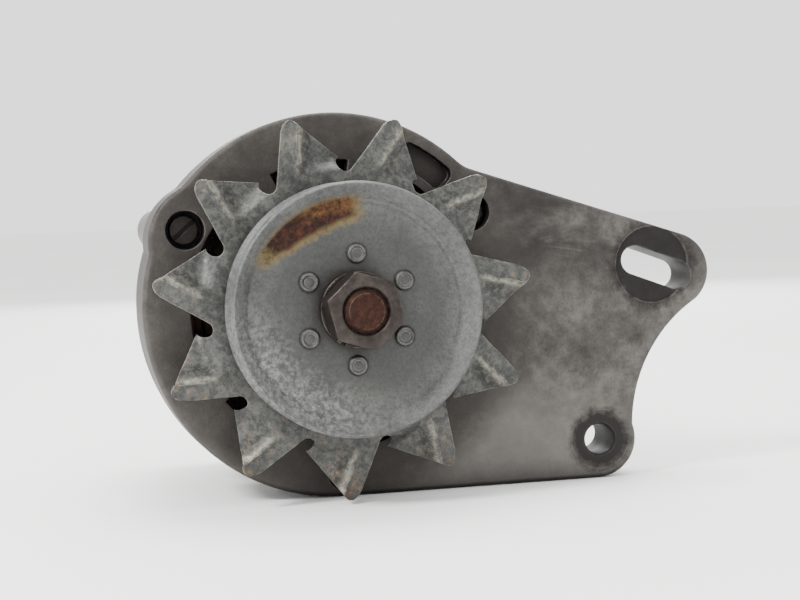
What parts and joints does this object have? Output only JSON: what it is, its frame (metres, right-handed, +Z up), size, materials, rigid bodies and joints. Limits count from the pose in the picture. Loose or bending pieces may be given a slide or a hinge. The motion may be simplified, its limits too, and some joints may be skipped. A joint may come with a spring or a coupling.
{
  "type": "car alternator",
  "caption": "Car alternator: cast drive end bracket with mounting arm, pivot bore and adjuster slot, open swept-blade fan, V-belt pulley, stator, vented rear bracket and covered rectifier end.",
  "frame": {"origin": "on the rotor axis, in the front face plane of the drive end bracket", "axes": "-Y along the rotor axis towards the pulley end, +Z up from the flat bottom edge of the mounting arm, +X towards the arm"},
  "size_m": [0.1974, 0.167, 0.128],
  "materials": {
    "cast_aluminium": "dirty as-cast aluminium",
    "rear_casting": "as-cast aluminium",
    "zinc_steel_fan": "dull zinc plated sheet steel with rust at the edges",
    "zinc_steel_pulley": "dull zinc plated sheet steel with a rust stain",
    "dark_steel": "blackened, rubbed steel",
    "shaft_steel": "turned steel, rusty at the end",
    "bolt_steel": "zinc plated steel",
    "bearing_steel": "ground steel",
    "cage_steel": "pressed steel",
    "pole_iron": "forged iron",
    "core_laminations": "varnished laminated iron",
    "copper_wire": "enamelled copper wire",
    "slip_copper": "turned copper",
    "moulded_plastic": "black moulded plastic",
    "board": "brown laminate",
    "carbon": "carbon",
    "spring_steel": "bright spring wire",
    "heat_sink_aluminium": "plain aluminium sheet",
    "diode_body": "nickel plated can",
    "terminal_brass": "brass"
  },
  "bodies": {
    "housing": {"drive_end_bracket": "cast_aluminium", "bearing_retainer": "bolt_steel", "retainer_screws": "bolt_steel", "front_outer_race": "bearing_steel", "front_shields": "cage_steel", "rear_outer_race": "bearing_steel", "stator_core": "core_laminations", "winding_phase_u": "copper_wire", "winding_phase_v": "copper_wire", "winding_phase_w": "copper_wire", "rear_bracket": "rear_casting", "through_bolts": "bolt_steel", "brush_holder": "moulded_plastic", "brush_spring_inner": "spring_steel", "brush_spring_outer": "spring_steel", "holder_screws": "bolt_steel", "voltage_regulator": "moulded_plastic", "negative_heat_sink": "heat_sink_aluminium", "positive_heat_sink": "heat_sink_aluminium", "negative_diodes": "diode_body", "positive_diodes": "diode_body", "insulating_bushes": "moulded_plastic", "rectifier_screws": "bolt_steel", "exciter_board": "board", "exciter_diodes": "diode_body", "terminal_blade": "terminal_brass", "output_stud": "terminal_brass", "output_sleeve": "terminal_brass", "output_nut": "terminal_brass", "rear_cover": "moulded_plastic", "cover_screws": "bolt_steel"},
    "rotor": {"rotor_shaft": "shaft_steel", "woodruff_key": "shaft_steel", "pulley_front_disc": "zinc_steel_pulley", "pulley_rear_disc": "zinc_steel_pulley", "pulley_hub_spacer": "zinc_steel_pulley", "pulley_rivets": "zinc_steel_pulley", "shaft_nut": "dark_steel", "spring_washer": "dark_steel", "cooling_fan": "zinc_steel_fan", "pulley_collar": "shaft_steel", "fan_collar": "shaft_steel", "front_inner_race": "bearing_steel", "rear_inner_race": "bearing_steel", "front_claw_pole": "pole_iron", "rear_claw_pole": "pole_iron", "pole_core": "pole_iron", "coil_bobbin": "moulded_plastic", "field_coil": "copper_wire", "slip_ring_inner": "slip_copper", "slip_ring_outer": "slip_copper", "slip_ring_sleeve": "moulded_plastic"},
    "front_ball_set": {"front_cage": "cage_steel", "front_balls": "bearing_steel"},
    "rear_ball_set": {"rear_cage": "cage_steel", "rear_balls": "bearing_steel"},
    "inner_brush": {"brush_inner": "carbon"},
    "outer_brush": {"brush_outer": "carbon"}
  },
  "joints": [
    {"name": "rotor_spin", "type": "hinge", "parent": "housing", "child": "rotor", "pos_m": [0, 0, 0], "axis": [0, 1, 0], "continuous": true},
    {"name": "front_cage_roll", "type": "hinge", "parent": "housing", "child": "front_ball_set", "pos_m": [0, 0.011, 0], "axis": [0, 1, 0], "continuous": true},
    {"name": "rear_cage_roll", "type": "hinge", "parent": "housing", "child": "rear_ball_set", "pos_m": [0, 0.073, 0], "axis": [0, 1, 0], "continuous": true},
    {"name": "inner_brush_slide", "type": "slide", "parent": "housing", "child": "inner_brush", "axis": [0, 0, 1], "range_m": [0, 0.006], "stiffness_N_per_m": 200, "springref_m": -0.01, "deforming": ["brush_spring_inner"]},
    {"name": "outer_brush_slide", "type": "slide", "parent": "housing", "child": "outer_brush", "axis": [0, 0, 1], "range_m": [0, 0.006], "stiffness_N_per_m": 200, "springref_m": -0.01, "deforming": ["brush_spring_outer"]}
  ],
  "couplings": [
    {"joint": "front_cage_roll", "follows": "rotor_spin", "ratio": 0.3816},
    {"joint": "rear_cage_roll", "follows": "rotor_spin", "ratio": 0.3647}
  ]
}
